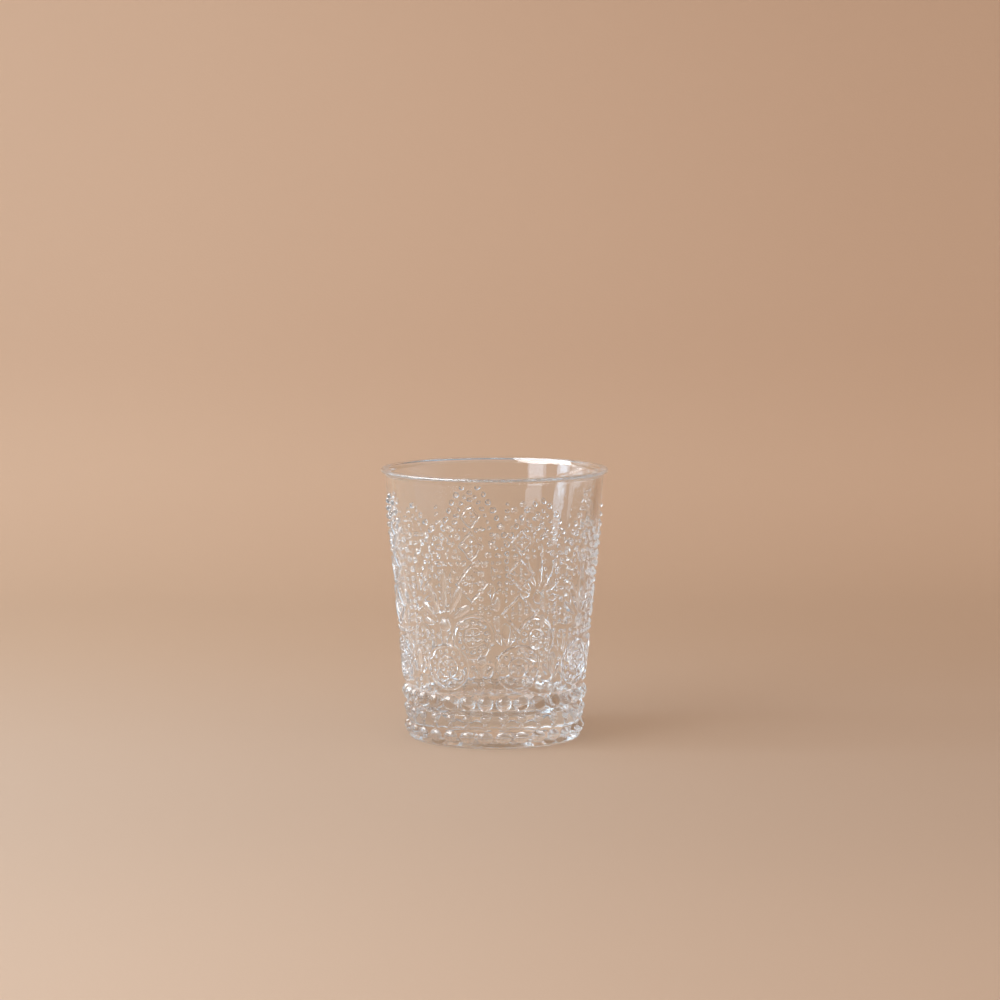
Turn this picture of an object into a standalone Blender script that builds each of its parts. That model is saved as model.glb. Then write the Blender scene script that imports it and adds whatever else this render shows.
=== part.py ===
"""Pressed glass tumbler: one body of clear glass with a rounded lip, a tapered wall, a thick floor and a beaded foot.

The wall carries a pressed relief: a zigzag of beaded arches, low and tall by turns, with a ringed roundel under each.
Metres, +Z up. The origin is the centre of the resting ring. Angles run from the front (-Y) towards +X.
"""

import math

import bmesh
import bpy
from mathutils import Matrix, Vector

# Overall sizes
HEIGHT = 0.1010
LIP_DIAMETER = 0.0850
HEEL_DIAMETER = 0.0666
HEEL_HEIGHT = 0.0171
WALL_THICKNESS = 0.0027

# Lip: a round edge that stands out from the wall
LIP_DEPTH = 0.0046
LIP_OVERHANG = 0.0015

# Inside: flat floor with a rounded corner
FLOOR_HEIGHT = 0.0145
CORNER_RADIUS = 0.0060

# Foot: a waist under the heel, then a short drum with a rounded lower edge and a domed underside
WAIST_DEPTH = 0.0016
WAIST_HEIGHT = 0.0142
FOOT_DIAMETER = 0.0650
FOOT_HEIGHT = 0.0128
FOOT_EDGE_RADIUS = 0.0022
RESTING_RING_WIDTH = 0.0045
UNDERSIDE_DEPTH = 0.0025

# Every bead is a dome whose widest ring lies just under the surface it stands on
BEAD_SINK = 0.0003

# Bead rows round the heel and the foot
ROW_BEADS = 30
ROW_TURN = math.radians(-6)
HEEL_BEAD_HEIGHT = 0.0064
HEEL_BEAD_GAP = 0.0004
HEEL_BEAD_PROUD = 0.0019
UPPER_BEAD_LEVEL = 0.0110
UPPER_BEAD_WIDTH = 0.0036
UPPER_BEAD_HEIGHT = 0.0044
UPPER_BEAD_PROUD = 0.0016
LOWER_BEAD_LEVEL = 0.0044
LOWER_BEAD_WIDTH = 0.0052
LOWER_BEAD_HEIGHT = 0.0038
LOWER_BEAD_PROUD = 0.0010

# Arches: eight panels, low and tall by turns, drawn in beads
PANELS = 8
PANEL_TURN = math.radians(-30)
ARCH_FOOT_LEVEL = 0.0660
LOW_ARCH_TOP = 0.0840
TALL_ARCH_TOP = 0.0915
ARCH_ROUNDNESS = 1.6
ARCH_BEAD_DIAMETER = 0.0027
ARCH_BEAD_PITCH = 0.0039
ARCH_BEAD_PROUD = 0.0011

# Roundels: a ring with a boss in its middle, one under each arch
ROUNDEL_LEVEL = 0.0305
ROUNDEL_DIAMETER = 0.0180
ROUNDEL_RING_WIDTH = 0.0016
ROUNDEL_RING_PROUD = 0.0007
ROUNDEL_RING_SUNK = 0.0004
ROUNDEL_BOSS_DIAMETER = 0.0050
ROUNDEL_BOSS_PROUD = 0.0011

# Facets. The turned facets start off to one side, so that no edge of theirs runs through the middle of a bead
TURNED_SEGMENTS = 60
TURNED_START = math.radians(2)
LIP_STEPS = 8
CORNER_STEPS = 3
EDGE_STEPS = 2
DOME_STEPS = 2
ROW_BEAD_SIDES = 8
ARCH_BEAD_SIDES = 6
BEAD_RINGS = 4
RING_STEPS = 16
RING_SIDES = 4
SMOOTH_ANGLE = math.radians(50)
MERGE_DISTANCE = 1e-6


def clear_scene():
    """Remove every object that the file starts with."""
    for item in list(bpy.data.objects):
        bpy.data.objects.remove(item)


def clear_glass():
    """Clear soda-lime glass."""
    material = bpy.data.materials.new("clear_glass")
    material.use_nodes = True
    shader = material.node_tree.nodes["Principled BSDF"]
    shader.inputs["Base Color"].default_value = (0.97, 0.985, 0.98, 1)
    shader.inputs["Roughness"].default_value = 0.03
    shader.inputs["Metallic"].default_value = 0.0
    shader.inputs["IOR"].default_value = 1.52
    shader.inputs["Transmission Weight"].default_value = 1.0
    return material


def wall_radius(level):
    """Radius of the plain outside wall at a height: a straight taper from the heel to the underside of the lip."""
    heel = HEEL_DIAMETER / 2
    top = LIP_DIAMETER / 2 - LIP_OVERHANG
    return heel + (top - heel) * (level - HEEL_HEIGHT) / (HEIGHT - LIP_DEPTH - HEEL_HEIGHT)


WALL_TILT = math.atan2(wall_radius(HEIGHT) - wall_radius(0), HEIGHT)


def arc(centre, radius, start, end, steps):
    """Points on an arc of the profile, from one angle to another in degrees."""
    points = []
    for step in range(steps + 1):
        angle = math.radians(start + (end - start) * step / steps)
        points.append((centre[0] + radius * math.cos(angle), centre[1] + radius * math.sin(angle)))
    return points


def inside_profile():
    """Floor, rounded corner and inside wall, from the axis up to the lip."""
    corner_level = FLOOR_HEIGHT + CORNER_RADIUS
    corner = (wall_radius(corner_level) - WALL_THICKNESS - CORNER_RADIUS, corner_level)
    return [(0, FLOOR_HEIGHT)] + arc(corner, CORNER_RADIUS, -90, -math.degrees(WALL_TILT), CORNER_STEPS)


def lip_profile():
    """The round lip, over the top from the inside wall to the underside of its overhang."""
    inner = wall_radius(HEIGHT) - WALL_THICKNESS
    radius = (LIP_DIAMETER / 2 - inner) / 2
    under_lip = HEIGHT - LIP_DEPTH
    round_edge = arc((inner + radius, HEIGHT - radius), radius, 180, -60, LIP_STEPS)
    return round_edge + [(wall_radius(under_lip), under_lip)]


def foot_profile():
    """Heel, waist, foot and underside, down to the axis."""
    foot = FOOT_DIAMETER / 2
    edge = foot - FOOT_EDGE_RADIUS
    waist = HEEL_DIAMETER / 2 - WAIST_DEPTH
    points = [(wall_radius(HEEL_HEIGHT), HEEL_HEIGHT), (waist, WAIST_HEIGHT), (foot, FOOT_HEIGHT)]
    points += arc((edge, FOOT_EDGE_RADIUS), FOOT_EDGE_RADIUS, 0, -90, EDGE_STEPS)
    ring_inside = edge - RESTING_RING_WIDTH
    for step in range(DOME_STEPS + 1):
        share = step / DOME_STEPS
        points.append((ring_inside * (1 - share), UNDERSIDE_DEPTH * math.sin(share * math.pi / 2)))
    return points


def turned_body():
    """The plain tumbler, its profile spun once round the axis."""
    bm = bmesh.new()
    profile = inside_profile() + lip_profile() + foot_profile()
    start = Matrix.Rotation(TURNED_START, 3, "Z")
    points = [bm.verts.new(start @ Vector((radius, 0, level))) for radius, level in profile]
    edges = [bm.edges.new(pair) for pair in zip(points, points[1:])]
    bmesh.ops.spin(bm, geom=points + edges, axis=(0, 0, 1), cent=(0, 0, 0), steps=TURNED_SEGMENTS,
                   angle=2 * math.pi, use_merge=True)
    return bm


def wall_place(angle, level):
    """Frame on the plain wall: X along the row, Y up the slope, Z straight out of the glass."""
    out = Vector((math.sin(angle), -math.cos(angle), 0))
    along = Vector((math.cos(angle), math.sin(angle), 0))
    slope = out * math.sin(WALL_TILT) + Vector((0, 0, math.cos(WALL_TILT)))
    frame = Matrix((along, slope, along.cross(slope))).transposed().to_4x4()
    return Matrix.Translation(out * wall_radius(level) + Vector((0, 0, level))) @ frame


def foot_place(angle, level):
    """Frame on the upright side of the foot, with the same axes."""
    out = Vector((math.sin(angle), -math.cos(angle), 0))
    along = Vector((math.cos(angle), math.sin(angle), 0))
    frame = Matrix((along, Vector((0, 0, 1)), out)).transposed().to_4x4()
    return Matrix.Translation(out * FOOT_DIAMETER / 2 + Vector((0, 0, level))) @ frame


def add_bead(bm, place, width, height, proud, sides):
    """A round or oval bead that stands proud of the surface at a place."""
    sunk = Matrix.Translation((0, 0, -BEAD_SINK))
    size = Matrix.Diagonal((width / 2, height / 2, proud + BEAD_SINK, 1))
    bmesh.ops.create_uvsphere(bm, u_segments=sides, v_segments=BEAD_RINGS, radius=1, matrix=place @ sunk @ size)


def row_angles():
    """Angles of the beads in one row."""
    return [ROW_TURN + 2 * math.pi * bead / ROW_BEADS for bead in range(ROW_BEADS)]


def heel_row():
    """The large beads round the heel, set a small gap apart."""
    bm = bmesh.new()
    width = math.pi * HEEL_DIAMETER / ROW_BEADS - HEEL_BEAD_GAP
    for angle in row_angles():
        place = wall_place(angle, HEEL_HEIGHT)
        add_bead(bm, place, width, HEEL_BEAD_HEIGHT, HEEL_BEAD_PROUD, ROW_BEAD_SIDES)
    return bm


def foot_row(level, width, height, proud):
    """One row of oval beads round the foot."""
    bm = bmesh.new()
    for angle in row_angles():
        add_bead(bm, foot_place(angle, level), width, height, proud, ROW_BEAD_SIDES)
    return bm


def half_arch(top):
    """Beads of half an arch as (share of the half panel, level), from the crown down to the shared foot bead."""
    half_width = math.pi / PANELS * wall_radius(ARCH_FOOT_LEVEL)
    rise = top - ARCH_FOOT_LEVEL
    samples = 60
    trail = [(i / samples, top - rise * (i / samples) ** ARCH_ROUNDNESS) for i in range(samples + 1)]
    lengths = [0]
    for (share_a, level_a), (share_b, level_b) in zip(trail, trail[1:]):
        lengths.append(lengths[-1] + math.hypot((share_b - share_a) * half_width, level_b - level_a))
    count = round(lengths[-1] / ARCH_BEAD_PITCH)
    beads = []
    for bead in range(count + 1):
        wanted = lengths[-1] * bead / count
        nearest = min(range(samples + 1), key=lambda i: abs(lengths[i] - wanted))
        beads.append(trail[nearest])
    return beads


def arch_row():
    """The zigzag of beaded arches round the wall. Neighbours share the bead where their feet meet."""
    bm = bmesh.new()
    half_panel = math.pi / PANELS
    for panel in range(PANELS):
        middle = PANEL_TURN + 2 * half_panel * panel
        beads = half_arch(LOW_ARCH_TOP if panel % 2 == 0 else TALL_ARCH_TOP)
        right_side = [(share, level) for share, level in beads]
        left_side = [(-share, level) for share, level in beads[1:-1]]
        for share, level in right_side + left_side:
            place = wall_place(middle + share * half_panel, level)
            add_bead(bm, place, ARCH_BEAD_DIAMETER, ARCH_BEAD_DIAMETER, ARCH_BEAD_PROUD, ARCH_BEAD_SIDES)
    return bm


def roundel_rings():
    """The raised ring of each roundel, bent to the wall."""
    bm = bmesh.new()
    middle_radius = (ROUNDEL_DIAMETER - ROUNDEL_RING_WIDTH) / 2
    half_depth = ROUNDEL_RING_PROUD + ROUNDEL_RING_SUNK
    half_width = ROUNDEL_RING_WIDTH / 2 * half_depth / ROUNDEL_RING_PROUD
    section = Matrix.Translation((middle_radius, 0, -ROUNDEL_RING_SUNK)) @ Matrix.Rotation(math.pi / 2, 4, "X")
    section = section @ Matrix.Diagonal((half_width, half_depth, 1, 1))
    for panel in range(PANELS):
        angle = PANEL_TURN + 2 * math.pi * panel / PANELS
        start = bmesh.ops.create_circle(bm, segments=RING_SIDES, radius=1, matrix=section)["verts"]
        edges = list({edge for vert in start for edge in vert.link_edges})
        known = set(bm.verts) - set(start)
        bmesh.ops.spin(bm, geom=start + edges, axis=(0, 0, 1), cent=(0, 0, 0), steps=RING_STEPS,
                       angle=2 * math.pi, use_merge=True)
        for vert in set(bm.verts) - known:
            across, up, proud = vert.co
            place = wall_place(angle + across / wall_radius(ROUNDEL_LEVEL), ROUNDEL_LEVEL + up)
            vert.co = place @ Vector((0, 0, proud))
    return bm


def roundel_bosses():
    """The round boss in the middle of each roundel."""
    bm = bmesh.new()
    for panel in range(PANELS):
        place = wall_place(PANEL_TURN + 2 * math.pi * panel / PANELS, ROUNDEL_LEVEL)
        add_bead(bm, place, ROUNDEL_BOSS_DIAMETER, ROUNDEL_BOSS_DIAMETER, ROUNDEL_BOSS_PROUD, ARCH_BEAD_SIDES)
    return bm


def new_object(name, bm):
    """Close a mesh, turn its faces outwards, shade it smooth and put it in the scene."""
    bmesh.ops.remove_doubles(bm, verts=bm.verts, dist=MERGE_DISTANCE)
    bmesh.ops.recalc_face_normals(bm, faces=bm.faces)
    mesh = bpy.data.meshes.new(name)
    bm.to_mesh(mesh)
    bm.free()
    mesh.shade_smooth()
    mesh.set_sharp_from_angle(angle=SMOOTH_ANGLE)
    item = bpy.data.objects.new(name, mesh)
    bpy.context.scene.collection.objects.link(item)
    return item


def press_into(body, name, bm):
    """Join one set of relief shapes to the body, as the mould presses them out of the same glass."""
    relief = new_object(name, bm)
    relief.hide_render = True
    relief.display_type = "WIRE"
    relief.parent = body
    union = body.modifiers.new(name, "BOOLEAN")
    union.operation = "UNION"
    union.object = relief


def main():
    clear_scene()
    tumbler = new_object("tumbler", turned_body())
    tumbler.data.materials.append(clear_glass())
    press_into(tumbler, "heel_beads", heel_row())
    upper_row = foot_row(UPPER_BEAD_LEVEL, UPPER_BEAD_WIDTH, UPPER_BEAD_HEIGHT, UPPER_BEAD_PROUD)
    press_into(tumbler, "upper_foot_beads", upper_row)
    lower_row = foot_row(LOWER_BEAD_LEVEL, LOWER_BEAD_WIDTH, LOWER_BEAD_HEIGHT, LOWER_BEAD_PROUD)
    press_into(tumbler, "lower_foot_beads", lower_row)
    press_into(tumbler, "arch_beads", arch_row())
    press_into(tumbler, "roundel_rings", roundel_rings())
    press_into(tumbler, "roundel_bosses", roundel_bosses())


main()
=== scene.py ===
# %% [markdown]
# # A pressed glass tumbler
# The tumbler is one piece of clear glass: a gob is dropped into a mould with the pattern cut into it,
# and a plunger presses the inside smooth. So the whole lesson makes one closed mesh and one material,
# and spends its effort on the relief, because clear glass shows nothing else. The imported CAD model
# gives the frame, and its box is kept first.

# %% Load the frame
import math

import bmesh
import bpy
import numpy as np
from mathutils import Matrix, Vector


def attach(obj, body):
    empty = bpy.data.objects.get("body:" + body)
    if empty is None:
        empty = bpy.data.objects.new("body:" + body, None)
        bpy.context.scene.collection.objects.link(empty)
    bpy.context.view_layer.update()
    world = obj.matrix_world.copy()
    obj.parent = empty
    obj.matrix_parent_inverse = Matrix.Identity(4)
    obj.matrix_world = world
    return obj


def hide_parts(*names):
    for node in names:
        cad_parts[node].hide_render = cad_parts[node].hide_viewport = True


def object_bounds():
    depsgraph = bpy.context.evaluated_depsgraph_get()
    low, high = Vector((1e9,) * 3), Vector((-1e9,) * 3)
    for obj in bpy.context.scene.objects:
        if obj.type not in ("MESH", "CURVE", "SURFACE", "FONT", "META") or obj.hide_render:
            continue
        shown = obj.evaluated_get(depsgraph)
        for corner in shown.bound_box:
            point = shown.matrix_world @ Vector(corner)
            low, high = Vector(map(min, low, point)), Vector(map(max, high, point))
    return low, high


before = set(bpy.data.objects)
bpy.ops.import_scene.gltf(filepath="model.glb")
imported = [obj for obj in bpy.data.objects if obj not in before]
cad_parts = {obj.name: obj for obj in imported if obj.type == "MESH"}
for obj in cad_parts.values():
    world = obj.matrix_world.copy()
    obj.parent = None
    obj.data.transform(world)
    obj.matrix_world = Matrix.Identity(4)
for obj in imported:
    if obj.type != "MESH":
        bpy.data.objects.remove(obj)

MM = 0.001
cad_low, cad_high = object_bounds()
print("CAD box in mm:", [round(side / MM, 2) for side in cad_high - cad_low])

# %% [markdown]
# ## The camera
# The ellipses of the rim, the groove and the bead rows are flatter at the top than at the foot, and how
# fast they open up gives the distance. A long lens from 1.2 metres, a little above the rim, fits them
# all.

# %% Camera
VIEW_DISTANCE = 1.219
VIEW_HEIGHT = 0.228
VIEW_SIDE = 2.06 * MM
VIEW_PITCH = math.radians(6.516)
FOCAL_PIXELS = 3276
IMAGE_PIXELS = 1000

camera_data = bpy.data.cameras.new("camera")
camera_data.lens = camera_data.sensor_width * FOCAL_PIXELS / IMAGE_PIXELS
camera = bpy.data.objects.new("camera", camera_data)
camera.location = (VIEW_SIDE, -VIEW_DISTANCE, VIEW_HEIGHT)
camera.rotation_euler = (math.pi / 2 - VIEW_PITCH, 0, 0)
bpy.context.scene.collection.objects.link(camera)
bpy.context.scene.camera = camera
bpy.context.scene.view_settings.view_transform = "Standard"
print("lens in mm:", round(camera_data.lens, 1))

# %% [markdown]
# ## The paper sweep
# The tumbler stands on tan paper that turns up behind it. One edge loop of the paper's profile,
# extruded sideways, is enough. The turn is an arc, so that no line shows where the floor ends.

# %% Paper sweep
PAPER_HALF_WIDTH = 1.5
PAPER_FRONT = -1.7
PAPER_TURN_START = 0.33
PAPER_TURN_RADIUS = 0.42
PAPER_TOP = 1.7
TURN_STEPS = 24


def arc(centre, radius, start, end, steps):
    """Points on an arc from one angle to another, in degrees, both ends included."""
    angles = [math.radians(start + (end - start) * step / steps) for step in range(steps + 1)]
    return [(centre[0] + radius * math.cos(a), centre[1] + radius * math.sin(a)) for a in angles]


def paper_sweep():
    """Floor, turn and back of the paper, as one sheet."""
    bm = bmesh.new()
    turn = arc((PAPER_TURN_START, PAPER_TURN_RADIUS), PAPER_TURN_RADIUS, -90, 0, TURN_STEPS)
    outline = [(PAPER_FRONT, 0)] + turn + [(PAPER_TURN_START + PAPER_TURN_RADIUS, PAPER_TOP)]
    points = [bm.verts.new((-PAPER_HALF_WIDTH, y, z)) for y, z in outline]
    edges = [bm.edges.new(pair) for pair in zip(points, points[1:])]
    made = bmesh.ops.extrude_edge_only(bm, edges=edges)["geom"]
    moved = [item for item in made if isinstance(item, bmesh.types.BMVert)]
    bmesh.ops.translate(bm, verts=moved, vec=(2 * PAPER_HALF_WIDTH, 0, 0))
    mesh = bpy.data.meshes.new("paper_sweep")
    bm.to_mesh(mesh)
    bm.free()
    mesh.shade_smooth()
    sheet = bpy.data.objects.new("paper_sweep", mesh)
    bpy.context.scene.collection.objects.link(sheet)
    return sheet


paper = paper_sweep()
print("paper faces:", len(paper.data.polygons))

# %% [markdown]
# ## The paper's finish
# The card is matt tan, and the tones along and across it are painted light and shade. The floor is
# painted lighter and cooler towards the front, where the windows light it, with a painted darker dip
# and a painted lighter band where the sheet bends. The back is painted darker at the top, out of the
# light. The sheet is painted lighter on the left, near the windows, and in painted shade on the right,
# away from them, most of all on the floor. Far out at the sides it fades to a pale grey, which the
# edges of the glass pick up. Two noises do the rest: a fine one for fibres and a broad one for the
# slight clouding of a sheet that has been rolled up.

# %% Paper finish
# Tan with painted light and shade along the sheet: lit front, darker bend, lighter band, dark top
FRONT_PAINTED_LIGHT = (0.64, 0.482, 0.368)
FLOOR_COLOUR = (0.59, 0.448, 0.345)
BEND_PAINTED_SHADE = (0.576, 0.409, 0.287)
BAND_PAINTED_LIGHT = (0.583, 0.407, 0.288)
BACK_COLOUR = (0.525, 0.353, 0.243)
HIGH_PAINTED_SHADE = (0.22, 0.170, 0.140)
PAPER_TONES_AND_PAINTED_LIGHT = ((-0.40, FRONT_PAINTED_LIGHT), (-0.12, FLOOR_COLOUR), (0.30, BEND_PAINTED_SHADE), (0.53, BAND_PAINTED_LIGHT),
               (0.74, BACK_COLOUR), (1.25, BACK_COLOUR), (1.80, HIGH_PAINTED_SHADE))
# Painted light on the left, near the windows, and painted shade on the right, deepest on the floor
LEFT_PAINTED_LIGHT = (1.043, 1.064, 1.062)
RIGHT_FLOOR_PAINTED_SHADE = (0.855, 0.810, 0.765)
RIGHT_BACK_PAINTED_SHADE = (0.99, 0.98, 0.965)
PAINTED_LIGHT_REACH = 0.28
RIGHT_SHADE_START, RIGHT_SHADE_END = 0.0, 0.7
SIDE_COLOUR = (0.47, 0.44, 0.43)
SIDE_START = 0.42
SIDE_END = 0.80
CLOUD_SHADE = (0.95, 0.94, 0.93)
CLOUD_SCALE, CLOUD_DETAIL = 3.0, 3.0
FIBRE_SCALE, FIBRE_DETAIL = 700.0, 4.0
FIBRE_STRENGTH = 0.12
FIBRE_DEPTH = 0.4 * MM
PAPER_ROUGHNESS = 0.75
PAPER_GLOSS = 0.3


def noise_at(tree, coordinates, scale, detail):
    """A noise texture on Object coordinates."""
    noise = tree.nodes.new("ShaderNodeTexNoise")
    noise.inputs["Scale"].default_value = scale
    noise.inputs["Detail"].default_value = detail
    tree.links.new(coordinates, noise.inputs["Vector"])
    return noise.outputs["Fac"]


def calculated(tree, operation, first, second=None):
    """One sum, product or other simple operation on values."""
    node = tree.nodes.new("ShaderNodeMath")
    node.operation = operation
    tree.links.new(first, node.inputs[0])
    if second is not None:
        tree.links.new(second, node.inputs[1])
    return node.outputs[0]


def mixed(tree, factor, first, second, blend="MIX"):
    """A mix of two colours, each a socket or a plain colour, by a factor or in full."""
    node = tree.nodes.new("ShaderNodeMix")
    node.data_type = "RGBA"
    node.blend_type = blend
    if factor is None:
        node.inputs["Factor"].default_value = 1.0
    else:
        tree.links.new(factor, node.inputs["Factor"])
    for side, colour in (("A", first), ("B", second)):
        if isinstance(colour, tuple):
            node.inputs[side].default_value = (*colour, 1)
        else:
            tree.links.new(colour, node.inputs[side])
    return node.outputs["Result"]


def stepped(tree, value, low, high):
    """A smooth step from 0 at one value to 1 at another."""
    node = tree.nodes.new("ShaderNodeMapRange")
    node.interpolation_type = "SMOOTHSTEP"
    node.inputs["From Min"].default_value = low
    node.inputs["From Max"].default_value = high
    tree.links.new(value, node.inputs["Value"])
    return node.outputs["Result"]


def paper_finish():
    """Matt tan card with fibres and clouding, and painted light and shade along and across the sheet."""
    material = bpy.data.materials.new("tan_paper")
    material.use_nodes = True
    tree = material.node_tree
    shader = tree.nodes["Principled BSDF"]
    shader.inputs["Roughness"].default_value = PAPER_ROUGHNESS
    shader.inputs["Specular IOR Level"].default_value = PAPER_GLOSS
    place = tree.nodes.new("ShaderNodeTexCoord").outputs["Object"]
    axes = tree.nodes.new("ShaderNodeSeparateXYZ")
    tree.links.new(place, axes.inputs["Vector"])
    along = calculated(tree, "ADD", axes.outputs["Y"], axes.outputs["Z"])
    # Painted light and shade along the sheet, from the front over the bend to the top
    tone_and_painted_light = FRONT_PAINTED_LIGHT
    for (low, _), (high, colour) in zip(PAPER_TONES_AND_PAINTED_LIGHT, PAPER_TONES_AND_PAINTED_LIGHT[1:]):
        tone_and_painted_light = mixed(tree, stepped(tree, along, low, high), tone_and_painted_light, colour)
    # Painted light on the left and painted shade on the right, from the floor up to the back
    across = stepped(tree, axes.outputs["X"], -PAINTED_LIGHT_REACH, PAINTED_LIGHT_REACH)
    right_painted_shade = mixed(tree, stepped(tree, along, RIGHT_SHADE_START, RIGHT_SHADE_END), RIGHT_FLOOR_PAINTED_SHADE, RIGHT_BACK_PAINTED_SHADE)
    tone_and_painted_light = mixed(tree, None, tone_and_painted_light, mixed(tree, across, LEFT_PAINTED_LIGHT, right_painted_shade), "MULTIPLY")
    aside = calculated(tree, "ABSOLUTE", axes.outputs["X"])
    tone_and_painted_light = mixed(tree, stepped(tree, aside, SIDE_START, SIDE_END), tone_and_painted_light, SIDE_COLOUR)
    tone_and_painted_light = mixed(tree, noise_at(tree, place, CLOUD_SCALE, CLOUD_DETAIL), tone_and_painted_light, CLOUD_SHADE, "MULTIPLY")
    tree.links.new(tone_and_painted_light, shader.inputs["Base Color"])
    bump = tree.nodes.new("ShaderNodeBump")
    bump.inputs["Strength"].default_value = FIBRE_STRENGTH
    bump.inputs["Distance"].default_value = FIBRE_DEPTH
    tree.links.new(noise_at(tree, place, FIBRE_SCALE, FIBRE_DETAIL), bump.inputs["Height"])
    tree.links.new(bump.outputs["Normal"], shader.inputs["Normal"])
    return material


paper.data.materials.append(paper_finish())
print("paper nodes:", len(paper.data.materials[0].node_tree.nodes))

# %% [markdown]
# ## The light
# Glass has no colour of its own and shows the room, so the room is half of its finish. Cool windows
# stand on the left: a near and a far one, which the glass mirrors as two upright strips inside its back
# wall, a broad high one above them, and one further back that lights the beads from behind. A top light
# shows only where a surface mirrors it straight, as the lip does. It and the back window are kept off
# the paper, which an even warm light fills. Rays that look, straight or through the glass, see cool
# walls, dim behind the camera, and a bright band of ceiling on the camera's side that fades overhead:
# it draws a line of light along the top of every bead.

# %% Lights
LIGHT_DISTANCE = 1.05
RIM_LEVEL = cad_high.z
FILL_STRENGTH = 0.76
FILL_COLOUR = (1.0, 0.82, 0.67)
HORIZON_COLOUR = (0.36, 0.42, 0.50)
DIM_COLOUR = (0.14, 0.15, 0.17)
DIM_START, DIM_END = -0.1, -0.7
CEILING_COLOUR = (0.85, 0.93, 1.05)
CEILING_START, CEILING_END = 0.35, 0.70
ZENITH_COLOUR = (0.38, 0.40, 0.43)
ZENITH_START, ZENITH_END = 0.78, 0.92
AHEAD_START, AHEAD_END = 0.35, -0.05
LIGHT_BOUNCES = 64
# Each light by name, azimuth, spread, lowest and highest degree, radiance and colour
LIGHTS = (
    ("near_window", 49, 20, 4.2, 28, 3.9, (0.68, 0.84, 1.0)),
    ("far_window", 86, 14, 0, 28, 6.0, (0.56, 0.79, 1.0)),
    ("high_window", 60, 60, 28, 52, 4.2, (0.80, 0.90, 1.0)),
    ("top_light", 82, 76, 30, 74, 12.0, (0.97, 0.98, 1.0)),
    ("back_window", 116, 30, 0, 30, 2.4, (0.72, 0.87, 1.0)),
)


def soft_light(name, azimuth, spread, lowest, highest, radiance, colour):
    """A tall light, sized in degrees as the rim sees it, with the azimuth leftwards from the camera."""
    data = bpy.data.lights.new(name, "AREA")
    data.shape = "RECTANGLE"
    width = 2 * LIGHT_DISTANCE * math.tan(math.radians(spread / 2))
    bottom = RIM_LEVEL + LIGHT_DISTANCE * math.tan(math.radians(lowest))
    top = RIM_LEVEL + LIGHT_DISTANCE * math.tan(math.radians(highest))
    data.size = width
    data.size_y = top - bottom
    data.color = colour
    data.energy = radiance * math.pi * width * (top - bottom)
    angle = math.radians(azimuth)
    item = bpy.data.objects.new(name, data)
    side = -LIGHT_DISTANCE * math.sin(angle)
    ahead = -LIGHT_DISTANCE * math.cos(angle)
    item.location = (side, ahead, (bottom + top) / 2)
    to_glass = Vector((-side, -ahead, 0))
    item.rotation_euler = to_glass.to_track_quat("-Z", "Y").to_euler()
    item.visible_camera = False
    bpy.context.scene.collection.objects.link(item)
    return item


def sky():
    """Even light on the paper, and the room that the glass shows."""
    world = bpy.data.worlds.new("sky")
    world.use_nodes = True
    tree = world.node_tree
    fill = tree.nodes["Background"]
    fill.inputs["Color"].default_value = (*FILL_COLOUR, 1)
    fill.inputs["Strength"].default_value = FILL_STRENGTH
    direction = tree.nodes.new("ShaderNodeSeparateXYZ")
    tree.links.new(tree.nodes.new("ShaderNodeTexCoord").outputs["Generated"], direction.inputs["Vector"])
    room = tree.nodes.new("ShaderNodeBackground")
    behind = stepped(tree, direction.outputs["Y"], DIM_START, DIM_END)
    height = stepped(tree, direction.outputs["Z"], CEILING_START, CEILING_END)
    walls = mixed(tree, behind, HORIZON_COLOUR, DIM_COLOUR)
    overhead = stepped(tree, direction.outputs["Z"], ZENITH_START, ZENITH_END)
    ceiling = mixed(tree, overhead, CEILING_COLOUR, ZENITH_COLOUR)
    ahead = stepped(tree, direction.outputs["Y"], AHEAD_START, AHEAD_END)
    lit = calculated(tree, "MULTIPLY", height, ahead)
    tree.links.new(mixed(tree, lit, walls, ceiling), room.inputs["Color"])
    rays = tree.nodes.new("ShaderNodeLightPath").outputs
    looks = calculated(tree, "MAXIMUM", rays["Is Camera Ray"], rays["Is Glossy Ray"])
    looks = calculated(tree, "MAXIMUM", looks, rays["Is Transmission Ray"])
    mix = tree.nodes.new("ShaderNodeMixShader")
    tree.links.new(looks, mix.inputs[0])
    tree.links.new(fill.outputs[0], mix.inputs[1])
    tree.links.new(room.outputs[0], mix.inputs[2])
    tree.links.new(mix.outputs[0], tree.nodes["World Output"].inputs["Surface"])
    return world


bpy.context.scene.world = sky()
bpy.context.scene.cycles.max_bounces = LIGHT_BOUNCES
bpy.context.scene.cycles.glossy_bounces = LIGHT_BOUNCES
bpy.context.scene.cycles.transmission_bounces = LIGHT_BOUNCES
lights = {name: soft_light(name, *values) for name, *values in LIGHTS}
lights["top_light"].visible_diffuse = False
lights["top_light"].visible_transmission = False
lights["back_window"].visible_diffuse = False
print("lights:", ", ".join(lights))

# %% [markdown]
# ## The turned body
# Lip, wall, floor and foot are all round, so one outline spun about the axis makes them. The outline is
# a list of corners, each with its own rounding, the way a mould drawing gives them. Real glass has no
# sharp edge anywhere. The lip is thin and flares outwards, inside too, and that short flare mirrors the
# light at the back of the rim. Above the groove the heel is hollowed to a cove, so that the beads in it
# can stand out as balls.

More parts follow.
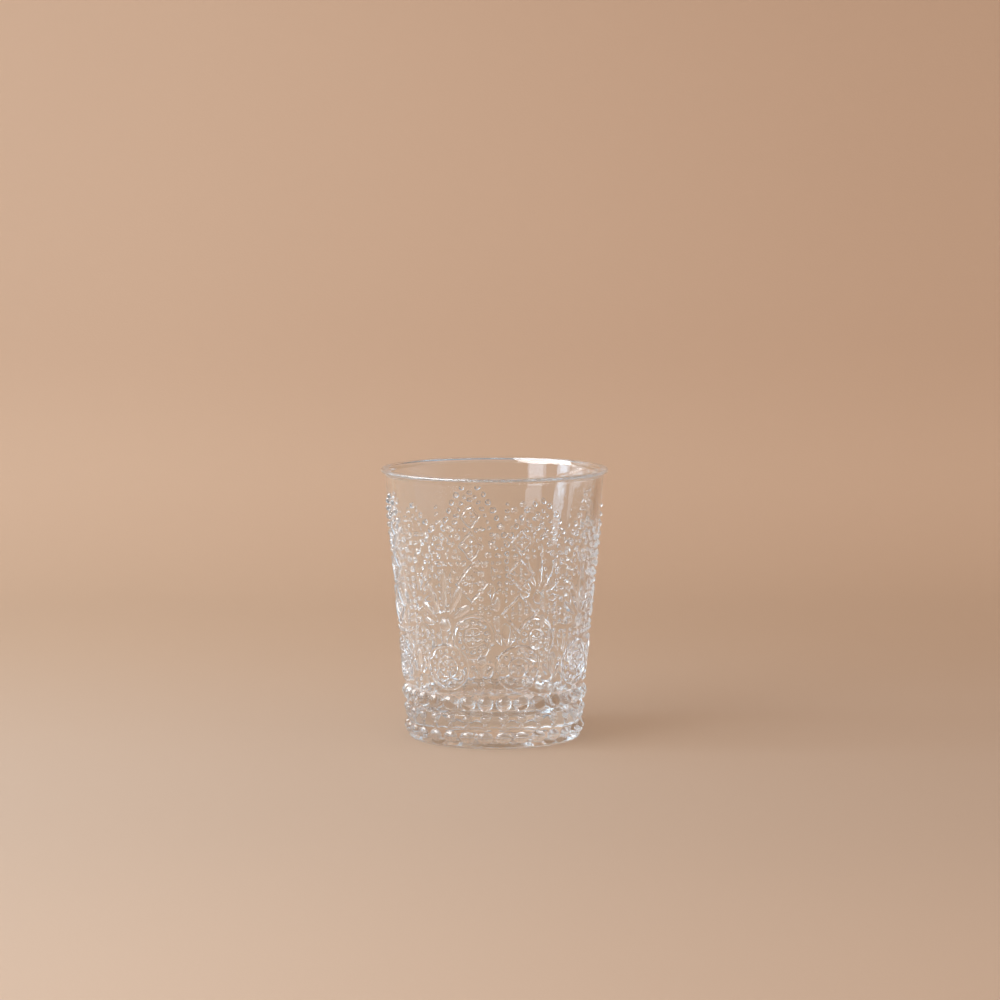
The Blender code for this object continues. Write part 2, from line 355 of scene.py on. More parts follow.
# %% Turned outline
HEIGHT = cad_high.z
LIP_RADIUS = (cad_high.x - cad_low.x) / 2
LIP_OVERHANG = 1.5 * MM
LIP_DEPTH = 1.9 * MM
LIP_THICKNESS = 2.7 * MM
LIP_SIDE = 1.2 * MM
LIP_ROLL = 0.8 * MM
LIP_UNDERSIDE = 0.5 * MM
LIP_FILLET = 1.4 * MM
LIP_INSIDE_EDGE = 0.7 * MM
LIP_FLARE = 1.6 * MM
WALL_THICKNESS = 2.7 * MM
FLOOR_LEVEL = 14.5 * MM
INSIDE_CORNER = 6.0 * MM
HEEL_RADIUS = 33.6 * MM
HEEL_LEVEL = 20.3 * MM
HEEL_ROUNDING = 1.0 * MM
COVE_RADIUS = 31.4 * MM
COVE_LEVEL = 17.0 * MM
COVE_ROUNDING = 2.0 * MM
WAIST_RADIUS = 30.2 * MM
WAIST_LEVEL = 13.9 * MM
WAIST_ROUNDING = 0.6 * MM
FOOT_RADIUS = 32.5 * MM
FOOT_LEVEL = 12.4 * MM
FOOT_SHOULDER = 0.6 * MM
FOOT_EDGE = 1.1 * MM
RESTING_RING_WIDTH = 5.6 * MM
RING_ROUNDING = 1.2 * MM
HOLLOW_DEPTH = 2.5 * MM
HOLLOW_EDGE_WIDTH = 4.0 * MM
HOLLOW_EDGE_DEPTH = 1.5 * MM
HOLLOW_ROUNDING = 8.0 * MM
UNDER_LIP = HEIGHT - LIP_DEPTH
WALL_SLOPE = (LIP_RADIUS - LIP_OVERHANG - HEEL_RADIUS) / (UNDER_LIP - HEEL_LEVEL)
WALL_TILT = math.atan(WALL_SLOPE)
ROUNDING_STEP = math.radians(9)


def wall_radius(level):
    """Radius of the plain outside wall at a height."""
    return HEEL_RADIUS + WALL_SLOPE * (level - HEEL_LEVEL)


def turned_corners():
    """Corners as (radius, level, rounding), from the floor's middle over the lip to the underside."""
    inside_neck = wall_radius(UNDER_LIP) - WALL_THICKNESS
    inside_floor = wall_radius(FLOOR_LEVEL) - WALL_THICKNESS
    ring_inside = FOOT_RADIUS - FOOT_EDGE - RESTING_RING_WIDTH
    return [
        (0, FLOOR_LEVEL, 0),
        (inside_floor, FLOOR_LEVEL, INSIDE_CORNER),
        (inside_neck, UNDER_LIP, LIP_FLARE),
        (LIP_RADIUS - LIP_THICKNESS, HEIGHT, LIP_INSIDE_EDGE),
        (LIP_RADIUS, HEIGHT, LIP_ROLL),
        (LIP_RADIUS, HEIGHT - LIP_SIDE, LIP_UNDERSIDE),
        (wall_radius(UNDER_LIP), UNDER_LIP, LIP_FILLET),
        (HEEL_RADIUS, HEEL_LEVEL, HEEL_ROUNDING),
        (COVE_RADIUS, COVE_LEVEL, COVE_ROUNDING),
        (WAIST_RADIUS, WAIST_LEVEL, WAIST_ROUNDING),
        (FOOT_RADIUS, FOOT_LEVEL, FOOT_SHOULDER),
        (FOOT_RADIUS, 0, FOOT_EDGE),
        (ring_inside, 0, RING_ROUNDING),
        (ring_inside - HOLLOW_EDGE_WIDTH, HOLLOW_EDGE_DEPTH, HOLLOW_ROUNDING),
        (0, HOLLOW_DEPTH, 0),
    ]


def rounded(corners):
    """The outline's points, each corner replaced by an arc of its rounding."""
    points = [Vector(corners[0][:2])]
    for before, corner, after in zip(corners, corners[1:], corners[2:]):
        tip = Vector(corner[:2])
        back = (Vector(before[:2]) - tip).normalized()
        ahead = (Vector(after[:2]) - tip).normalized()
        half = back.angle(ahead) / 2
        reach = corner[2] / math.tan(half)
        centre = tip + (back + ahead).normalized() * corner[2] / math.sin(half)
        first = tip + back * reach - centre
        sweep = math.pi - 2 * half
        if ahead.cross(back) < 0:
            sweep = -sweep
        steps = max(2, math.ceil(abs(sweep) / ROUNDING_STEP))
        for step in range(steps + 1):
            points.append(centre + Matrix.Rotation(sweep * step / steps, 2) @ first)
    points.append(Vector(corners[-1][:2]))
    return points


outline = rounded(turned_corners())
print("outline points:", len(outline))

# %% [markdown]
# ## Spinning
# The spin operator turns the outline round the axis as a lathe would. Many narrow steps keep the rim
# round in a close view. The points on the axis and along the closing line are then merged, which leaves
# one closed skin.

# %% Turned body
SPIN_STEPS = 240
MERGE_DISTANCE = 1e-6


def spun(bm, points, edges, steps):
    """Spin an outline once round Z and close it."""
    bmesh.ops.spin(bm, geom=points + edges, axis=(0, 0, 1), cent=(0, 0, 0), steps=steps, angle=2 * math.pi,
                   use_merge=True)
    bmesh.ops.remove_doubles(bm, verts=bm.verts, dist=MERGE_DISTANCE)


def object_from(bm, name):
    """Turn the faces outwards and put the mesh in the scene."""
    bmesh.ops.recalc_face_normals(bm, faces=bm.faces)
    mesh = bpy.data.meshes.new(name)
    bm.to_mesh(mesh)
    bm.free()
    item = bpy.data.objects.new(name, mesh)
    bpy.context.scene.collection.objects.link(item)
    return item


def turned_body():
    """The plain tumbler without its relief."""
    bm = bmesh.new()
    points = [bm.verts.new((point.x, 0, point.y)) for point in outline]
    edges = [bm.edges.new(pair) for pair in zip(points, points[1:])]
    spun(bm, points, edges, SPIN_STEPS)
    return object_from(bm, "pressed_glass")


tumbler = turned_body()
print("turned faces:", len(tumbler.data.polygons))

# %% [markdown]
# ## The bench
# A mould cutter lays a pattern out flat and then cuts it round. Here the motifs are made flat too, X
# along the row, Y up the wall and Z out of the glass, and each is then bent onto the wall. Three shapes
# are enough: a dome for beads, a leaf for petals and a ring, which is a lozenge when it is spun in four
# steps.

# %% Shapes on the bench
LARGE_SIDES, LARGE_RINGS = 14, 8
SMALL_SIDES, SMALL_RINGS = 10, 6
LARGE_BEAD = 3.0 * MM
SUNK_SHARE = 0.3
LEAF_TAPER = 0.35
SECTION_SIDES = 8
LOZENGE_CUTS = 4


def dome(width, height, proud):
    """A round or oval bead. Its widest ring lies under the surface, so that it meets the wall at a slope."""
    large = width > LARGE_BEAD
    sides = LARGE_SIDES if large else SMALL_SIDES
    rings = LARGE_RINGS if large else SMALL_RINGS
    sunk = proud * SUNK_SHARE
    place = Matrix.Translation((0, 0, -sunk)) @ Matrix.Diagonal((width / 2, height / 2, proud + sunk, 1))
    shape = bmesh.new()
    bmesh.ops.create_uvsphere(shape, u_segments=sides, v_segments=rings, radius=1, matrix=place)
    return shape


def leaf(length, width, proud):
    """A slender petal along Y from its root at zero, narrower at the root than at the tip."""
    sunk = proud * SUNK_SHARE
    size = Matrix.Diagonal((width / 2, length / 2, proud + sunk, 1))
    place = Matrix.Translation((0, length / 2, -sunk)) @ size @ Matrix.Rotation(math.pi / 2, 4, "X")
    shape = bmesh.new()
    bmesh.ops.create_uvsphere(shape, u_segments=SMALL_SIDES, v_segments=LARGE_RINGS, radius=1, matrix=place)
    for vert in shape.verts:
        vert.co.x *= 1 + LEAF_TAPER * (2 * vert.co.y / length - 1)
    return shape


def ring(radius, width, proud, steps):
    """A round ridge in a circle of that many steps. Four steps make a square standing on its corner."""
    sunk = proud * SUNK_SHARE
    size = Matrix.Diagonal((width / 2, proud + sunk, 1, 1))
    place = Matrix.Translation((radius, 0, -sunk)) @ Matrix.Rotation(math.pi / 2, 4, "X") @ size
    shape = bmesh.new()
    bmesh.ops.create_circle(shape, segments=SECTION_SIDES, radius=1, matrix=place)
    bmesh.ops.spin(shape, geom=shape.verts[:] + shape.edges[:], axis=(0, 0, 1), cent=(0, 0, 0), steps=steps,
                   angle=2 * math.pi, use_merge=True)
    return shape


def lozenge(half_width, half_height, width, proud):
    """A ridge along the sides of a lozenge, cut into short lengths so that it can bend round the wall."""
    shape = ring(half_width, width, proud, 4)
    long_edges = [edge for edge in shape.edges if edge.calc_length() > half_width]
    bmesh.ops.scale(shape, vec=(1, half_height / half_width, 1), verts=shape.verts)
    bmesh.ops.subdivide_edges(shape, edges=long_edges, cuts=LOZENGE_CUTS, use_grid_fill=True)
    return shape


# %% [markdown]
# ## Bending
# A shape is bent by its points: its place along the row becomes an angle, its place up the bench
# becomes a height on the sloping wall, and what stands out follows the wall's tilt. Each motif also
# notes the patch that it covers, because the ground between them is sown last.

# %% Bending onto the glass
carrier = bpy.data.meshes.new("carrier")
footprints = []
print("wall tilt in degrees:", round(math.degrees(WALL_TILT), 2))


def move_to(target, shape):
    """Add a finished shape to a set of relief. Each is made on its own, which keeps the operators quick."""
    shape.to_mesh(carrier)
    shape.free()
    target.from_mesh(carrier)


def on_circle(radius, angle, level):
    """A point round the axis, its angle counted from the camera's side towards the right."""
    return radius * math.sin(angle), -radius * math.cos(angle), level


def put_on_wall(target, shape, angle, level, across=0.0, up=0.0, turn=0.0):
    """Turn a shape about its root, shift it on the bench, then bend the bench round the wall."""
    place = Matrix.Translation((across, up, 0)) @ Matrix.Rotation(-turn, 4, "Z")
    around = wall_radius(level)
    angles = []
    heights = []
    for vert in shape.verts:
        along, rise, out = place @ vert.co
        height = level + rise * math.cos(WALL_TILT)
        radius = wall_radius(height) + out * math.cos(WALL_TILT)
        turned = angle + along / around
        angles.append(turned)
        heights.append(height)
        vert.co = on_circle(radius, turned, height - out * math.sin(WALL_TILT))
    footprints.append((min(angles), max(angles), min(heights), max(heights)))
    move_to(target, shape)


def put_round(target, shape, angle, level, around, turn=0.0):
    """Turn a shape about its root and bend it round an upright drum of that radius."""
    place = Matrix.Rotation(-turn, 4, "Z")
    for vert in shape.verts:
        along, rise, out = place @ vert.co
        turned = angle + along / around
        vert.co = on_circle(around + out, turned, level + rise)
    move_to(target, shape)


# %% [markdown]
# ## The bead rows
# Three rows of thirty beads run round the heel and the foot, all in step, as the mould cutter's
# dividing head sets them. The heel's beads are nearly balls and sit in the cove. A short bar hangs
# under each bead of the middle row. The bars are kept as a set of their own, because shapes that cross
# inside one set would leave faces inside the glass.

# %% Bead rows
ROW_BEADS = 30
ROW_TURN = math.radians(-6)
HEEL_BEAD_LEVEL = 17.0 * MM
HEEL_BEAD_RADIUS = 32.4 * MM
HEEL_BEAD = (6.3 * MM, 6.2 * MM, 2.4 * MM)
UPPER_BEAD_LEVEL = 11.0 * MM
UPPER_BEAD = (4.0 * MM, 3.6 * MM, 1.6 * MM)
BAR_LEVEL = 9.9 * MM
BAR = (3.2 * MM, 2.2 * MM, 0.8 * MM)
LOWER_BEAD_LEVEL = 4.2 * MM
LOWER_BEAD = (6.3 * MM, 4.8 * MM, 1.4 * MM)

heel_row = bmesh.new()
bar_row = bmesh.new()
foot_rows = bmesh.new()
for bead in range(ROW_BEADS):
    angle = ROW_TURN + 2 * math.pi * bead / ROW_BEADS
    put_round(heel_row, dome(*HEEL_BEAD), angle, HEEL_BEAD_LEVEL, HEEL_BEAD_RADIUS)
    put_round(foot_rows, dome(*UPPER_BEAD), angle, UPPER_BEAD_LEVEL, FOOT_RADIUS)
    put_round(bar_row, leaf(*BAR), angle, BAR_LEVEL, FOOT_RADIUS, math.pi)
    put_round(foot_rows, dome(*LOWER_BEAD), angle, LOWER_BEAD_LEVEL, FOOT_RADIUS)
print("row points:", len(heel_row.verts), len(bar_row.verts), len(foot_rows.verts))

# %% [markdown]
# ## The arches
# Eight panels go round the wall, low and tall by turns, each under an arch of beads. A finer arch runs
# inside it. The arch is a power curve, and the beads are spread along it by its length, because equal
# steps across would crowd them at the crown.

# %% Arches
PANELS = 8
PANEL_TURN = math.radians(-30)
HALF_PANEL = math.pi / PANELS
ARCH_FOOT_LEVEL = 66.0 * MM
LOW_ARCH_TOP = 84.0 * MM
TALL_ARCH_TOP = 91.5 * MM
ARCH_ROUNDNESS = 1.6
ARCH_BEAD = (2.7 * MM, 2.7 * MM, 1.1 * MM)
ARCH_PITCH = 3.9 * MM
INNER_BEAD = (1.7 * MM, 1.7 * MM, 0.75 * MM)
INNER_PITCH = 2.7 * MM
INNER_DROP = 4.2 * MM
INNER_WIDTH = 0.74
CURVE_SAMPLES = 200


def arch_points(top, pitch, width=1.0, drop=0.0):
    """Bead places along an arch as (angle from the panel's middle, level), evenly spaced."""
    shares = np.linspace(-1, 1, CURVE_SAMPLES + 1)
    angles = shares * width * HALF_PANEL
    levels = top - drop - (top - ARCH_FOOT_LEVEL) * np.abs(shares) ** ARCH_ROUNDNESS
    lengths = np.hypot(np.diff(angles) * wall_radius(ARCH_FOOT_LEVEL), np.diff(levels))
    trail = np.concatenate(([0], np.cumsum(lengths)))
    count = 2 * round(trail[-1] / pitch / 2)
    wanted = np.linspace(0, trail[-1], count + 1)
    return list(zip(np.interp(wanted, trail, angles), np.interp(wanted, trail, levels)))


relief = bmesh.new()
panels = []
for panel in range(PANELS):
    middle = PANEL_TURN + 2 * HALF_PANEL * panel
    top = LOW_ARCH_TOP if panel % 2 == 0 else TALL_ARCH_TOP
    panels.append((middle, top))
    for angle, level in arch_points(top, ARCH_PITCH)[:-1]:
        put_on_wall(relief, dome(*ARCH_BEAD), middle + angle, level)
    for angle, level in arch_points(top, INNER_PITCH, INNER_WIDTH, INNER_DROP):
        put_on_wall(relief, dome(*INNER_BEAD), middle + angle, level)
print("relief points after the arches:", len(relief.verts))

# %% [markdown]
# ## The fans
# Under each low arch stands a palmette: seven petals spread from one root, a bead at each tip and finer
# beads between.

# %% Fans
FAN_LEVEL = 46.2 * MM
FAN_ROOT = 4.2 * MM
FAN_PETALS = ((0, 17.0 * MM), (25, 12.5 * MM), (52, 8.5 * MM), (84, 5.5 * MM))
PETAL_WIDTH = 3.0 * MM
PETAL_PROUD = 0.9 * MM
FAN_BOSS = (5.2 * MM, 5.2 * MM, 1.3 * MM)
TIP_BEAD = (1.9 * MM, 1.9 * MM, 0.8 * MM)
TIP_GAP = 1.9 * MM
FINE_BEAD = (1.4 * MM, 1.4 * MM, 0.65 * MM)
FAN_CROWN = ((0, 75.0 * MM), (-2.0 * MM, 72.4 * MM), (2.0 * MM, 72.4 * MM))


def spoke(turn, reach):
    """Where a spoke of that turn ends, across and up from its root."""
    return reach * math.sin(turn), reach * math.cos(turn)


def fan(middle):
    """One palmette with its root boss, tip beads, the fine beads between the tips and a crown of three."""
    put_on_wall(relief, dome(*FAN_BOSS), middle, FAN_LEVEL)
    both_sides = {(side * turn, length) for turn, length in FAN_PETALS for side in (1, -1)}
    petals = sorted((math.radians(turn), length) for turn, length in both_sides)
    for turn, length in petals:
        petal = leaf(length, PETAL_WIDTH, PETAL_PROUD)
        put_on_wall(relief, petal, middle, FAN_LEVEL, *spoke(turn, FAN_ROOT), turn)
        put_on_wall(relief, dome(*TIP_BEAD), middle, FAN_LEVEL, *spoke(turn, FAN_ROOT + length + TIP_GAP))
    for (turn_a, length_a), (turn_b, length_b) in zip(petals, petals[1:]):
        reach = FAN_ROOT + (length_a + length_b) / 2 + TIP_GAP
        put_on_wall(relief, dome(*FINE_BEAD), middle, FAN_LEVEL, *spoke((turn_a + turn_b) / 2, reach))
    for across, level in FAN_CROWN:
        put_on_wall(relief, dome(*TIP_BEAD), middle, level, across)


for middle, top in panels[0::2]:
    fan(middle)
print("relief points after the fans:", len(relief.verts))

# %% [markdown]
# ## The ladders
# Under each tall arch three lozenges climb, smaller as they go, each with a four-petalled flower. Beads
# sit in the notches between them and leaves stand beside the lowest.

# %% Ladders
# Each lozenge by level, half width and half height
LADDER = (
    (51.0 * MM, 6.4 * MM, 7.0 * MM),
    (65.6 * MM, 5.0 * MM, 5.4 * MM),
    (77.5 * MM, 3.9 * MM, 4.3 * MM),
)
LOZENGE_WIDTH = 1.5 * MM
LOZENGE_PROUD = 0.75 * MM
LADDER_FLOWER = 0.54
LADDER_TOP_BEAD = 84.6 * MM
SIDE_LEAF = (6.0 * MM, 2.5 * MM, 0.8 * MM)
SIDE_LEAF_ACROSS = 8.2 * MM
SIDE_LEAF_DROP = 6.6 * MM
SIDE_LEAF_TURN = math.radians(8)
SIDE_BEAD_ACROSS = 11.4 * MM
NOTCH_BEAD_SHARE = 0.62
FLOWER_ROOT_SHARE = 0.36
FLOWER_PETAL_SHARE = 0.42
FLOWER_BEAD_PROUD = 0.7 * MM
FLOWER_PETAL_PROUD = 0.6 * MM


def flower(middle, level, reach, petals):
    """A small flower of that reach: petals round a bead."""
    put_on_wall(relief, dome(reach / 2, reach / 2, FLOWER_BEAD_PROUD), middle, level)
    root = reach * FLOWER_ROOT_SHARE
    for petal in range(petals):
        turn = 2 * math.pi * petal / petals
        shape = leaf(reach - root, reach * FLOWER_PETAL_SHARE, FLOWER_PETAL_PROUD)
        put_on_wall(relief, shape, middle, level, *spoke(turn, root), turn)


def ladder(middle):
    """The lozenges of one tall panel with their flowers, beads and leaves."""
    for level, half_width, half_height in LADDER:
        put_on_wall(relief, lozenge(half_width, half_height, LOZENGE_WIDTH, LOZENGE_PROUD), middle, level)
        flower(middle, level, half_width * LADDER_FLOWER, 4)
    for (low, width_a, height_a), (high, width_b, height_b) in zip(LADDER, LADDER[1:]):
        notch = (low + height_a + high - height_b) / 2
        for side in (-1, 1):
            put_on_wall(relief, dome(*TIP_BEAD), middle, notch, side * width_b * NOTCH_BEAD_SHARE)
            put_on_wall(relief, dome(*FINE_BEAD), middle, notch, side * width_a)
    put_on_wall(relief, dome(*TIP_BEAD), middle, LADDER_TOP_BEAD)
    level = LADDER[0][0]
    for side in (-1, 1):
        put_on_wall(relief, dome(*TIP_BEAD), middle, level, side * SIDE_BEAD_ACROSS)
        across = side * SIDE_LEAF_ACROSS
        turn = side * SIDE_LEAF_TURN
        put_on_wall(relief, leaf(*SIDE_LEAF), middle, level, across, -SIDE_LEAF_DROP, turn)
        put_on_wall(relief, leaf(*SIDE_LEAF), middle, level, across, SIDE_LEAF_DROP, math.pi - turn)


for middle, top in panels[1::2]:
    ladder(middle)
print("relief points after the ladders:", len(relief.verts))

# %% [markdown]
# ## Roundels, pearl strings and buds
# A row of roundels runs under a line of fine beads: a ring, a circle of beads, a finer ring and a
# daisy. Where two arches meet, pearls climb above their feet and hang below them, and a bud fills the
# gap between two roundels.

# %% Roundels, strings and buds
ROUNDEL_LEVEL = 30.5 * MM
ROUNDEL_RING = (8.2 * MM, 1.6 * MM, 0.75 * MM)
ROUNDEL_FINE_RING = (3.9 * MM, 0.9 * MM, 0.5 * MM)
ROUNDEL_BEADS = 14
ROUNDEL_BEAD_RADIUS = 5.95 * MM
ROUNDEL_BEAD = (1.75 * MM, 1.75 * MM, 0.8 * MM)
ROUNDEL_FLOWER = 3.0 * MM
RING_STEPS = 40
LINE_LEVEL = 41.4 * MM
LINE_BEADS = 80
# Pearls by level and size in mm: above the arches' feet, hanging below them, and round the bud
PEARLS_ABOVE = ((82.0, 1.3), (79.0, 1.6), (75.6, 1.9))
PEARLS_HANGING = ((62.4, 2.4), (59.5, 2.25), (56.7, 2.1), (54.0, 2.0), (51.4, 1.9), (48.9, 1.8),
                  (46.5, 1.7), (44.2, 1.6))
PEARLS_ROUND_BUD = ((38.4, 1.9), (24.8, 1.9), (22.5, 1.5))
PEARL_PROUD_SHARE = 0.42
BUD_LEVEL = 27.0 * MM
BUD = (9.0 * MM, 3.4 * MM, 0.9 * MM)
BUD_SIDE = (5.2 * MM, 2.2 * MM, 0.7 * MM)
BUD_SIDE_ACROSS = 1.9 * MM
BUD_SIDE_TURN = math.radians(20)


def roundel(middle):
    """Two rings, a circle of beads between them and a daisy in the middle."""
    put_on_wall(relief, ring(*ROUNDEL_RING, RING_STEPS), middle, ROUNDEL_LEVEL)
    put_on_wall(relief, ring(*ROUNDEL_FINE_RING, RING_STEPS // 2), middle, ROUNDEL_LEVEL)
    for bead in range(ROUNDEL_BEADS):
        place = spoke(2 * math.pi * bead / ROUNDEL_BEADS, ROUNDEL_BEAD_RADIUS)
        put_on_wall(relief, dome(*ROUNDEL_BEAD), middle, ROUNDEL_LEVEL, *place)
    flower(middle, ROUNDEL_LEVEL, ROUNDEL_FLOWER, 6)


def string_and_bud(angle):
    """The pearls on the line between two panels, and the bud among them."""
    for level, size in PEARLS_ABOVE + PEARLS_HANGING + PEARLS_ROUND_BUD:
        put_on_wall(relief, dome(size * MM, size * MM, size * PEARL_PROUD_SHARE * MM), angle, level * MM)
    put_on_wall(relief, leaf(*BUD), angle, BUD_LEVEL)
    for side in (-1, 1):
        across = side * BUD_SIDE_ACROSS
        put_on_wall(relief, leaf(*BUD_SIDE), angle, BUD_LEVEL, across, 0, side * BUD_SIDE_TURN)


for middle, top in panels:
    roundel(middle)
    string_and_bud(middle + HALF_PANEL)
for bead in range(LINE_BEADS):
    put_on_wall(relief, dome(*FINE_BEAD), PANEL_TURN + 2 * math.pi * bead / LINE_BEADS, LINE_LEVEL)
print("relief points after the roundels:", len(relief.verts))

# %% [markdown]
# ## The ground
# The ground under the arches is sown with seed beads on a staggered grid, wherever no motif stands.
# Each motif left its footprint when it was bent onto the wall, so a seed only has to ask whether its
# place is free.

# %% Seed beads
SEED = (1.4 * MM, 1.4 * MM, 0.6 * MM)
SEED_PITCH = 2.9 * MM
SEED_ROW = 2.6 * MM
SEED_LOWEST = 22.5 * MM
SEED_GAP = 1.0 * MM
SEED_UNDER_ARCH = 3.0 * MM

taken = np.array(footprints)
taken_middle = (taken[:, 0] + taken[:, 1]) / 2
taken_half = (taken[:, 1] - taken[:, 0]) / 2


def is_free(angle, level):
    """Whether a seed at that place keeps clear of every motif."""
    sideways = np.abs((angle - taken_middle + math.pi) % (2 * math.pi) - math.pi)
    beside = sideways > taken_half + SEED_GAP / wall_radius(level)
    above_or_below = (level > taken[:, 3] + SEED_GAP) | (level < taken[:, 2] - SEED_GAP)
    return bool(np.all(beside | above_or_below))


def sow(middle, top):
    """Seed beads under one arch, row by row."""
    sown = 0
    for row in range(int((top - SEED_LOWEST) / SEED_ROW)):
        level = SEED_LOWEST + row * SEED_ROW
        count = round(2 * HALF_PANEL * wall_radius(level) / SEED_PITCH)
        for seed in range(count):
            share = 2 * (seed + 0.5 * (row % 2)) / count - 1
            arch = top - (top - ARCH_FOOT_LEVEL) * abs(share) ** ARCH_ROUNDNESS - SEED_UNDER_ARCH
            angle = middle + share * HALF_PANEL
            if level < arch and is_free(angle, level):
                put_on_wall(relief, dome(*SEED), angle, level)
                sown += 1
    return sown


print("seed beads:", sum(sow(middle, top) for middle, top in panels))
bpy.data.meshes.remove(carrier)
print("relief points in all:", len(relief.verts))

# %% [markdown]
# ## Pressing
# The relief is the same glass as the wall, so it is joined to the body, not laid on it: a Boolean union
# leaves one closed skin, and light passes from bead to wall as in the real thing.

# %% Pressing
WALL_MARK, RELIEF_MARK = 0, 1


def read(items, name, kind, width=1):
    """One value, or one row of values, for each of a mesh's items."""
    values = np.zeros(len(items) * width, kind)
    items.foreach_get(name, values)
    return values.reshape(-1, width) if width > 1 else values


def press_into(body, bm, name):
    """Join one set of relief shapes to the body. Its faces keep a mark of their own for the shading."""
    shapes = object_from(bm, name)
    shapes.data.materials.append(None)
    shapes.data.materials.append(None)
    shapes.data.polygons.foreach_set("material_index", [RELIEF_MARK] * len(shapes.data.polygons))
    union = body.modifiers.new(name, "BOOLEAN")
    union.operation = "UNION"
    union.solver = "MANIFOLD"
    union.object = shapes
    pressed = bpy.data.meshes.new_from_object(body.evaluated_get(bpy.context.evaluated_depsgraph_get()))
    body.modifiers.clear()
    body.data = pressed
    bpy.data.objects.remove(shapes)


tumbler.data.materials.append(None)
tumbler.data.materials.append(None)
sets = {"heel_row": heel_row, "bar_row": bar_row, "foot_rows": foot_rows, "relief": relief}
for name, bm in sets.items():
    press_into(tumbler, bm, name)
    print(name, "pressed, faces now", len(tumbler.data.polygons))
marks = read(tumbler.data.polygons, "material_index", np.int32)
print("faces by mark:", np.bincount(marks))

# %% [markdown]
# ## Shading
# Fire polishing leaves the wall perfectly smooth between the motifs, but the union cuts it into slivers
# whose averaged normals would show as streaks. The true normal of a cone is known at every point, so it
# is set there.

# %% Shading
SHARP_ANGLE = math.radians(35)
ON_WALL = 0.02 * MM
CORNER_MARGIN = 1.0 * MM


def polish(mesh):
    """Smooth shading, with the exact normals of the cone and the drum wherever the plain wall shows."""
    mesh.shade_smooth()
    mesh.set_sharp_from_angle(angle=SHARP_ANGLE)
    normals = read(mesh.corner_normals, "vector", np.float32, 3)
    points = read(mesh.vertices, "co", np.float32, 3)
    places = points[read(mesh.loops, "vertex_index", np.int32)]
    plain = np.repeat(marks, read(mesh.polygons, "loop_total", np.int32)) == WALL_MARK
    radii = np.hypot(places[:, 0], places[:, 1])
    levels = places[:, 2]
    outward = places / np.maximum(radii, MERGE_DISTANCE)[:, None]
    on_wall = plain & (np.abs(radii - wall_radius(levels)) < ON_WALL)
    on_wall &= (levels > HEEL_LEVEL + CORNER_MARGIN) & (levels < UNDER_LIP - CORNER_MARGIN)
    outward[:, 2] = -math.tan(WALL_TILT)
    normals[on_wall] = outward[on_wall] / np.linalg.norm(outward[on_wall], axis=1)[:, None]
    on_drum = plain & (np.abs(radii - FOOT_RADIUS) < ON_WALL)
    on_drum &= (levels > FOOT_EDGE) & (levels < FOOT_LEVEL - CORNER_MARGIN)
    outward[:, 2] = 0
    normals[on_drum] = outward[on_drum]
    mesh.normals_split_custom_set(normals)
    print("corners set on the wall and the foot:", int(on_wall.sum()), int(on_drum.sum()))


polish(tumbler.data)
tumbler.data.polygons.foreach_set("material_index", [0] * len(tumbler.data.polygons))
tumbler.data.materials.clear()
tumbler.data.calc_loop_triangles()
print("triangles:", len(tumbler.data.loop_triangles))

# %% [markdown]
# ## Clear glass
# Glass is a dielectric: the Principled shader with full transmission. Soda-lime glass is faintly blue
# where it is thick, which an absorbing volume gives to the foot and leaves off the thin wall.
# Refraction in a path tracer throws no proper shadow, so rays towards lamps and off the paper pass
# straight through and lose a share at each surface. No flame polishes quite evenly: a node group adds
# faint upright ripples and a roughness that drifts.

# %% Glass finish
SHADOW_SHARE = 0.70
FILL_SHARE = 0.94
GLASS_COLOUR = (0.98, 0.99, 0.99, 1)
GLASS_IOR = 1.5
RIPPLE_SCALE, RIPPLE_DETAIL = 260.0, 1.0
RIPPLE_STRETCH = (1.0, 1.0, 0.3)
RIPPLE_DEPTH = 0.05 * MM
POLISH_SCALE, POLISH_DETAIL = 90.0, 3.0
SMOOTHEST, ROUGHEST = 0.004, 0.018
DEPTH_COLOUR = (0.74, 0.83, 0.88, 1)
DEPTH_DENSITY = 4.0


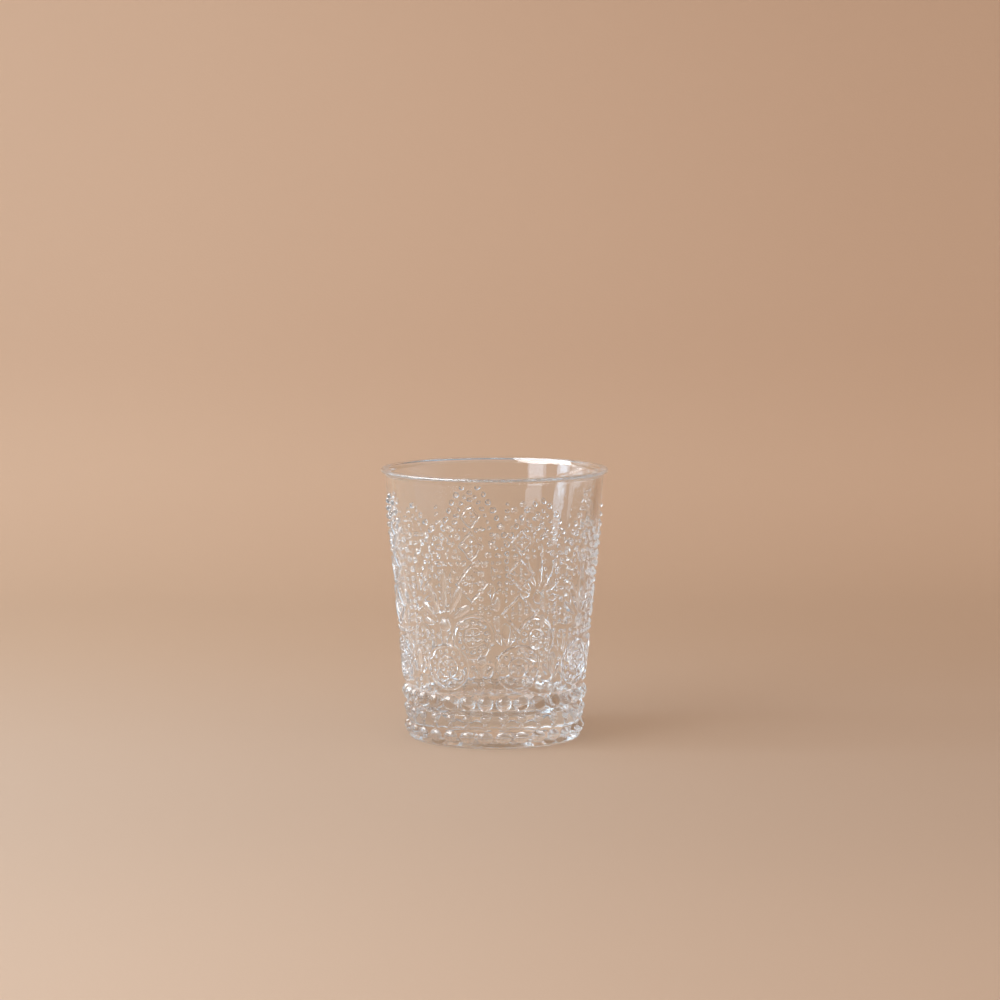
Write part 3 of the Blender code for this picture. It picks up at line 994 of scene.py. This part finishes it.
def fire_polish():
    """Node group: the faint upright ripples of the mould, and how evenly the flame has polished them."""
    group = bpy.data.node_groups.new("fire_polish", "ShaderNodeTree")
    group.interface.new_socket("Roughness", in_out="OUTPUT", socket_type="NodeSocketFloat")
    group.interface.new_socket("Normal", in_out="OUTPUT", socket_type="NodeSocketVector")
    outlet = group.nodes.new("NodeGroupOutput")
    place = group.nodes.new("ShaderNodeTexCoord").outputs["Object"]
    stretch = group.nodes.new("ShaderNodeVectorMath")
    stretch.operation = "MULTIPLY"
    stretch.inputs[1].default_value = RIPPLE_STRETCH
    group.links.new(place, stretch.inputs[0])
    bump = group.nodes.new("ShaderNodeBump")
    bump.inputs["Distance"].default_value = RIPPLE_DEPTH
    ripple = noise_at(group, stretch.outputs[0], RIPPLE_SCALE, RIPPLE_DETAIL)
    group.links.new(ripple, bump.inputs["Height"])
    group.links.new(bump.outputs["Normal"], outlet.inputs["Normal"])
    drift = group.nodes.new("ShaderNodeMapRange")
    drift.inputs["To Min"].default_value = SMOOTHEST
    drift.inputs["To Max"].default_value = ROUGHEST
    group.links.new(noise_at(group, place, POLISH_SCALE, POLISH_DETAIL), drift.inputs["Value"])
    group.links.new(drift.outputs["Result"], outlet.inputs["Roughness"])
    return group


def clear_glass():
    """Fire-polished clear glass."""
    material = bpy.data.materials.new("clear_glass")
    material.use_nodes = True
    tree = material.node_tree
    shader = tree.nodes["Principled BSDF"]
    shader.inputs["Base Color"].default_value = GLASS_COLOUR
    shader.inputs["IOR"].default_value = GLASS_IOR
    shader.inputs["Transmission Weight"].default_value = 1.0
    surface = tree.nodes.new("ShaderNodeGroup")
    surface.node_tree = fire_polish()
    for name in ("Roughness", "Normal"):
        tree.links.new(surface.outputs[name], shader.inputs[name])
    rays = tree.nodes.new("ShaderNodeLightPath")
    look = shader.outputs[0]
    for kind, share in (("Is Shadow Ray", SHADOW_SHARE), ("Is Diffuse Ray", FILL_SHARE)):
        clear = tree.nodes.new("ShaderNodeBsdfTransparent")
        clear.inputs["Color"].default_value = (share, share, share, 1)
        mix = tree.nodes.new("ShaderNodeMixShader")
        tree.links.new(rays.outputs[kind], mix.inputs[0])
        tree.links.new(look, mix.inputs[1])
        tree.links.new(clear.outputs[0], mix.inputs[2])
        look = mix.outputs[0]
    outlet = tree.nodes["Material Output"]
    tree.links.new(look, outlet.inputs["Surface"])
    depth = tree.nodes.new("ShaderNodeVolumeAbsorption")
    depth.inputs["Color"].default_value = DEPTH_COLOUR
    depth.inputs["Density"].default_value = DEPTH_DENSITY
    tree.links.new(depth.outputs[0], outlet.inputs["Volume"])
    return material


tumbler.data.materials.append(clear_glass())
print("glass nodes:", len(tumbler.data.materials[0].node_tree.nodes))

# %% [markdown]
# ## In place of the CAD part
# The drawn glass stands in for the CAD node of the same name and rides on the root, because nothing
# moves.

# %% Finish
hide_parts("tumbler")
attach(tumbler, "root")
